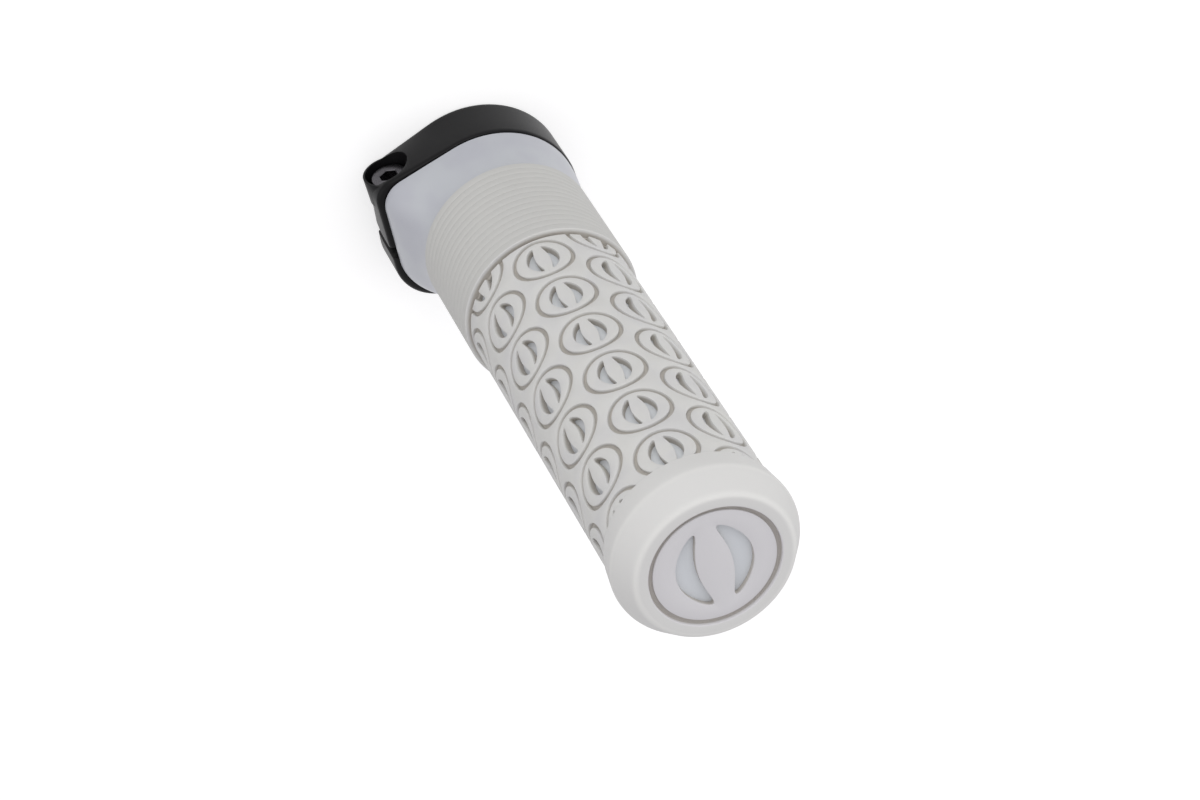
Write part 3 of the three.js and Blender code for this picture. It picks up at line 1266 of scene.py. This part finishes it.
@dataclass(frozen=True)
class Finish:
    """What the finishes share: a fine grain and broad blotches.

    Attributes:
        face: The main colour.
        shade: The colour of the blotches.
        grain: The fine noise, which also gives the bump.
        broad: The noise of the blotches.
        grain_depth: The bump's depth in millimetres.
        grain_strength: How much of the bump shows, from 0 to 1.
        roughness: The mean roughness.
        shine: The specular level.
        metallic: 1 for bare metal.
    """

    face: Colour
    shade: Colour
    grain: Cloud
    broad: Cloud
    grain_depth: float
    grain_strength: float
    roughness: float
    shine: float = 0.5
    metallic: float = 0.0

    def make(self, name: str) -> bpy.types.Material:
        """Makes the material.

        Args:
            name: Its name.

        Returns:
            The material.
        """
        shader = Shader(name)
        at = shader.place()
        grain = shader.noise(at, self.grain)
        broad = shader.noise(at, self.broad)
        rough = self.roughness
        for cloud, noise in ((self.grain, grain), (self.broad, broad)):
            if cloud.change:
                rough = rough + cloud.change * (noise - 0.5)
        shader.fill(
            Base_Color=self.colour(shader, at, broad),
            Roughness=rough,
            Metallic=self.metallic,
            Normal=shader.bump(grain, self.grain_depth, self.grain_strength),
            Specular_IOR_Level=self.shine,
        )
        return shader.material

    def colour(self, shader: Shader, at: Socket, broad: Socket) -> Socket:
        """Gives the colour over the surface, from the point and the broad noise there."""
        return shader.blend(broad, paint(*self.face), paint(*self.shade))


@dataclass(frozen=True)
class RubberFinish(Finish):
    """Satin pale grey moulded rubber, with dirt and painted shade in its recesses.

    The face is the bumper's colour, and the shade is that of the tread's blotches. The disc's colour is
    painted shade, and the crease colour is a painted highlight. A level or an edge is in millimetres,
    and a share says how much of a colour shows.
    """

    face: Colour = (212, 212, 210)
    shade: Colour = (206, 206, 205)
    tread: Colour = (208, 208, 205)
    # Painted shade: the end disc is the bumper's rubber, painted a touch darker and cooler
    disc: Colour = (209, 208, 210)
    # Painted highlight colour along the rim's crease and the bumper's crease
    crest_highlight: Colour = (224, 224, 221)
    # Colour of the dirt and painted shade deep in the tread's moats and the collar's groove, and of the
    # painted shade in the disc's moat and windows
    recess_dust_and_shade: Colour = (175, 170, 162)
    collar: Colour = (195, 195, 192)
    grain: Cloud = Cloud(0.22, 3.0, 0.1)
    broad: Cloud = Cloud(7.0, 2.0, 0.06)
    grain_depth: float = 0.03
    grain_strength: float = 0.5
    roughness: float = 0.62
    shine: float = 0.35
    layout: Layout = Layout()
    soft_edge: float = 0.1
    collar_inset: float = 0.12
    collar_edge: float = 0.08
    # How the dirt and painted shade deepen in the collar's groove and grow with depth below the tread
    groove_reach: float = 0.6
    groove_depth: float = 0.7
    dust_and_shade_start: float = 0.12
    dust_and_shade_full: float = 0.75
    dust_and_shade_share: float = 0.85
    end_start: float = 0.4
    disc_edge: float = 11.8
    # Painted shade in the end disc's moat and windows: how deep it starts, its soft edge and how much
    # shows
    pit_depth: float = 0.65
    pit_edge: float = 0.25
    pit_shade_share: float = 0.8
    # Painted highlights along the rim's crease and the bumper's crease: where they lie and how much
    # shows
    rim_highlight_radius: float = 13.8
    rim_highlight_share: float = 0.9
    band_highlight_height: float = 123.6
    band_highlight_share: float = 0.4
    highlight_half: float = 0.4

    def colour(self, shader: Shader, at: Socket, broad: Socket) -> Socket:
        """Paints the tread, bumper, disc and collar, with painted highlights, dirt and painted shade.

        Args:
            shader: The material's shader.
            at: The point in object coordinates.
            broad: The broad noise there.

        Returns:
            The colour.
        """
        layout = self.layout
        radius = shader.radius(at)
        height = shader.height(at)
        mottled = broad.step_up(*BLOTCHES)

        # Dirt and painted shade: a darker, warmer colour the deeper a point lies below the tread,
        # deeper still in the collar's groove
        by_collar = below(height, layout.rib_end + self.groove_reach, self.soft_edge)
        on_collar = below(height, layout.rib_end - self.collar_inset, self.collar_edge)
        in_tread = below(height, layout.tread_end, self.soft_edge)
        depth = layout.tread * METRES - radius + by_collar * (self.groove_depth * METRES)
        dust_and_shade = depth.step_up(self.dust_and_shade_start * METRES, self.dust_and_shade_full * METRES)
        dust_and_shade = dust_and_shade * in_tread * (1 - on_collar)

        at_end = 1 - below(height, layout.plate_top - self.end_start, self.soft_edge)
        on_disc = below(radius, self.disc_edge, self.soft_edge) * at_end
        # Painted shade in the end disc's moat and windows, below the disc's face
        pit_shade = below(height, layout.length - self.pit_depth, self.pit_edge) * on_disc
        # Painted highlights: lighter lines along the rim's crease and the bumper's crease
        rim = near(radius, self.rim_highlight_radius, self.highlight_half) * at_end
        band_highlight = near(height, self.band_highlight_height, self.highlight_half)

        colour = shader.blend(mottled * in_tread, paint(*self.face), paint(*self.shade))
        colour = shader.blend((1 - mottled) * in_tread, colour, paint(*self.tread))
        colour = shader.blend(rim * self.rim_highlight_share, colour, paint(*self.crest_highlight))
        colour = shader.blend(band_highlight * self.band_highlight_share, colour, paint(*self.crest_highlight))
        # Painted shade on the end disc: a touch darker and cooler than the bumper
        colour = shader.blend(on_disc, colour, paint(*self.disc))
        colour = shader.blend(on_collar, colour, paint(*self.collar))
        # Dirt and painted shade in the tread's recesses, and painted shade in the disc's moat and
        # windows
        deep = dust_and_shade * self.dust_and_shade_share + pit_shade * self.pit_shade_share
        return shader.blend(deep, colour, paint(*self.recess_dust_and_shade))


@dataclass(frozen=True)
class PlasticFinish(Finish):
    """Smooth cool grey hard plastic, paler where the rubber covers it."""

    face: Colour = (184, 187, 192)
    shade: Colour = (179, 181, 188)
    covered: Colour = (212, 216, 220)
    grain: Cloud = Cloud(0.35, 2.0, 0.08)
    broad: Cloud = Cloud(9.0)
    grain_depth: float = 0.01
    grain_strength: float = 0.3
    roughness: float = 0.34
    shine: float = 0.45
    cover_start: float = 22.0
    cover_full: float = 24.0

    def colour(self, shader: Shader, at: Socket, broad: Socket) -> Socket:
        """Gives the flange's colour and, under the rubber, the paler one."""
        under = shader.height(at).step_up(self.cover_start * METRES, self.cover_full * METRES)
        flange = super().colour(shader, at, broad.step_up(*BLOTCHES))
        return shader.blend(under, flange, paint(*self.covered))


@dataclass(frozen=True)
class AnodisedFinish(Finish):
    """Satin black anodised aluminium, blasted before it was coloured."""

    face: Colour = (12, 12, 13)
    shade: Colour = (17, 16, 18)
    grain: Cloud = Cloud(0.12, 3.0, 0.12)
    broad: Cloud = Cloud(5.0)
    grain_depth: float = 0.02
    grain_strength: float = 0.4
    roughness: float = 0.36
    shine: float = 0.12


@dataclass(frozen=True)
class SteelFinish(Finish):
    """Dark plated steel with faint turning marks."""

    face: Colour = (106, 104, 108)
    shade: Colour = (66, 64, 68)
    grain: Cloud = Cloud(0.3, 3.0, 0.15)
    broad: Cloud = Cloud(0.3, 3.0)
    grain_depth: float = 0.008
    grain_strength: float = 0.4
    roughness: float = 0.28
    metallic: float = 1.0


@dataclass(frozen=True)
class Lamp:
    """A soft square lamp that faces the grip.

    Attributes:
        name: Its name.
        at: Where it is, in metres.
        size: Its side in metres.
        power: Its power in watts.
    """

    name: str
    at: tuple[float, float, float]
    size: float
    power: float


@dataclass(frozen=True)
class Studio:
    """Pale floor, soft lamps and the camera at the photograph's angle."""

    camera_at: tuple[float, float, float] = (83.7, -393.4, 580.5)
    camera_right: tuple[float, float, float] = (-0.91381, 0.23453, 0.33162)
    camera_back: tuple[float, float, float] = (0.12732, -0.60992, 0.78218)
    lens: float = 111.9
    sensor_width: float = 36.0
    nearest: float = 0.01
    world_level: float = 0.69
    world_colour: tuple[float, ...] = (0.98, 0.965, 1.0, 1.0)
    white: tuple[float, ...] = (1.0, 1.0, 1.0, 1.0)
    floor_colour: tuple[float, ...] = (0.55, 0.55, 0.55, 1.0)
    floor_roughness: float = 0.9
    floor_half: float = 3000.0
    floor_glow: float = 0.6
    lamp_colour: tuple[float, float, float] = (1.0, 1.0, 0.975)
    lamp_aim: tuple[float, float, float] = (0.0, 0.0, 0.07)
    lamps: tuple[Lamp, ...] = (
        Lamp("key_lamp", (-0.1, -1.0, 0.45), 0.9, 4.3),
        Lamp("right_lamp", (-1.0, 0.2, 0.45), 0.6, 2.4),
        Lamp("left_lamp", (0.95, -0.4, 0.5), 0.8, 1.6),
    )

    def build(self) -> None:
        """Sets up everything that isn't the object."""
        self._camera()
        self._world()
        self._floor()
        for lamp in self.lamps:
            self._light(lamp)
        bpy.context.scene.view_settings.view_transform = "Standard"

    def _camera(self) -> None:
        """Places the camera."""
        data = bpy.data.cameras.new("photo_camera")
        data.lens = self.lens
        data.sensor_width = self.sensor_width
        data.sensor_fit = "HORIZONTAL"
        data.clip_start = self.nearest
        made = bpy.data.objects.new("photo_camera", data)
        right, back = Vector(self.camera_right), Vector(self.camera_back)
        axes = Matrix((right, back.cross(right), back)).transposed()
        place = Matrix.Translation(Vector(self.camera_at) * METRES)
        made.matrix_world = place @ axes.to_4x4()
        bpy.context.scene.collection.objects.link(made)
        bpy.context.scene.camera = made

    def _world(self) -> None:
        """Lights the scene evenly, with a white background for the camera."""
        world = bpy.data.worlds.new("studio")
        world.use_nodes = True
        bpy.context.scene.world = world
        graph = Graph(world.node_tree)
        soft = {"Color": self.world_colour, "Strength": self.world_level}
        light = graph.node("ShaderNodeBackground", {}, soft)
        white = graph.node("ShaderNodeBackground", {}, {"Color": self.white, "Strength": 1.0})
        mixed = graph.node("ShaderNodeMixShader", {}, {0: graph.backdrop(), 1: light, 2: white})
        graph.node("ShaderNodeOutputWorld", {}, {0: mixed})

    def _floor(self) -> None:
        """Lays a wide white floor that keeps the object's shadow."""
        form = Form()
        bmesh.ops.create_grid(form.mesh, x_segments=1, y_segments=1, size=self.floor_half)
        floor = form.finish("studio_floor")
        shader = Shader("studio_floor")
        shader.fill(
            Base_Color=self.floor_colour,
            Roughness=self.floor_roughness,
            Specular_IOR_Level=0.0,
            Emission_Color=self.white,
            Emission_Strength=shader.backdrop() * self.floor_glow,
        )
        floor.data.materials.append(shader.material)

    def _light(self, lamp: Lamp) -> None:
        """Hangs a lamp and turns it towards the grip."""
        data = bpy.data.lights.new(lamp.name, "AREA")
        data.size = lamp.size
        data.energy = lamp.power
        data.color = self.lamp_colour
        made = bpy.data.objects.new(lamp.name, data)
        aim = Vector(self.lamp_aim) - Vector(lamp.at)
        made.rotation_euler = aim.to_track_quat("-Z", "Y").to_euler()
        made.location = lamp.at
        bpy.context.scene.collection.objects.link(made)


def dress(piece: bpy.types.Object, node: str, slot: Slot, finish: Finish) -> None:
    """Gives a piece its finish and ties it to the CAD frame.

    Args:
        piece: The piece's object.
        node: The CAD node that it stands for.
        slot: The record's material slot.
        finish: The finish.
    """
    piece.data.materials.clear()
    piece.data.materials.append(finish.make(slot.value))
    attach(piece, "root")
    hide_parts(node)
    triangles = sum(len(polygon.vertices) - 2 for polygon in piece.data.polygons)
    LOG.info("%s: %d triangles", piece.name, triangles)


def main() -> None:
    """Builds the grip and its studio."""
    logging.basicConfig(level=logging.INFO, format="%(name)s: %(message)s")
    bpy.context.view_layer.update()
    dress(RubberSkin().build(), "rubber_skin", Slot.RUBBER, RubberFinish())
    dress(GripCore().build(), "grip_core", Slot.CORE, PlasticFinish())
    dress(ClampRing().build(), "clamp_ring", Slot.CLAMP, AnodisedFinish())
    dress(ClampBolt().build(), "clamp_bolt", Slot.BOLT, SteelFinish())
    Studio().build()
    bpy.context.view_layer.update()


if __name__ == "__main__":
    main()
